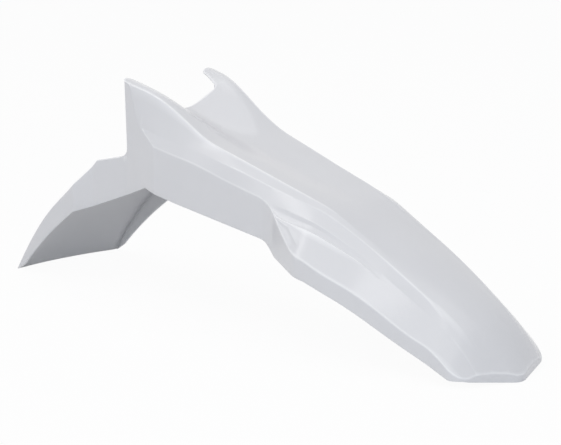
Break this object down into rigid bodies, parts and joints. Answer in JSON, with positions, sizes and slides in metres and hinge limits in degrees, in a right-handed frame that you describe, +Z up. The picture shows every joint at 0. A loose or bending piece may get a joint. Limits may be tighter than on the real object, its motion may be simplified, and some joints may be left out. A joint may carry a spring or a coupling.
{
  "type": "motorcycle front mudguard",
  "caption": "One-piece moulded plastic front mudguard for an off-road motorcycle, with a drooping nose, side pods, upright rear horns and a short tail behind the fork clamp pad.",
  "frame": {"origin": "on the floor under the middle of the part's overall length, on its mirror plane", "axes": "+X forward to the nose, +Y to the rider's left, +Z up from the floor it stands on"},
  "size_m": [0.7654, 0.198, 0.2643],
  "materials": {
    "gloss_white": "gloss"
  },
  "bodies": {
    "root": {"mudguard": "gloss_white"}
  },
  "joints": []
}
